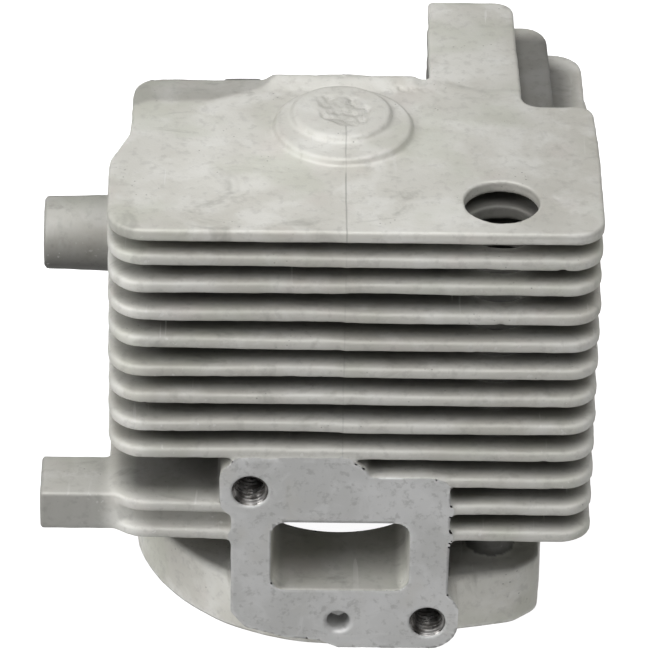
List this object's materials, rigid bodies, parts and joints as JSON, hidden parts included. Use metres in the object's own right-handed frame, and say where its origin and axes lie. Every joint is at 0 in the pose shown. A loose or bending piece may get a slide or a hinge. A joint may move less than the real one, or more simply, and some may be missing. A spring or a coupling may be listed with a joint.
{
  "type": "engine cylinder head",
  "caption": "Air-cooled two-stroke cylinder with its finned head cast in one piece, flanged intake and exhaust ports, tapped side bosses and a tilted spark plug seat.",
  "frame": {"origin": "on the bore axis, at the base gasket face", "axes": "+Z along the bore axis towards the head; -Y out of the intake flange, +Y out of the exhaust flange; +X to the right when looking at the intake face; the two long side bosses point to -X"},
  "size_m": [0.093, 0.0742, 0.0864],
  "materials": {
    "cast_body": "dull die-cast surface, slightly stained",
    "machined_faces": "milled flat face with light scratches",
    "bore_lining": "fine cross-hatched honed lining"
  },
  "bodies": {
    "root": {"barrel_foot": "cast_body", "barrel_lower": "cast_body", "barrel_port_belt": "cast_body", "barrel_upper": "cast_body", "base_flange": "cast_body", "base_screw_bosses": "cast_body", "bore_lining": "bore_lining", "crown_boss": "cast_body", "exhaust_duct": "cast_body", "exhaust_flange": "machined_faces", "fin_01_top_plate": "cast_body", "fin_02": "cast_body", "fin_03": "cast_body", "fin_04": "cast_body", "fin_05": "cast_body", "fin_06": "cast_body", "fin_07": "cast_body", "fin_08": "cast_body", "fin_09": "cast_body", "fin_10_left": "cast_body", "fin_10_right": "cast_body", "fin_11_left": "cast_body", "fin_11_right": "cast_body", "fin_12": "cast_body", "head_dome": "cast_body", "intake_duct": "cast_body", "intake_flange": "machined_faces", "intake_flange_foot": "machined_faces", "lower_side_boss": "cast_body", "spark_plug_boss": "cast_body", "transfer_passage_left": "cast_body", "transfer_passage_right": "cast_body", "upper_side_boss": "cast_body"}
  },
  "joints": []
}
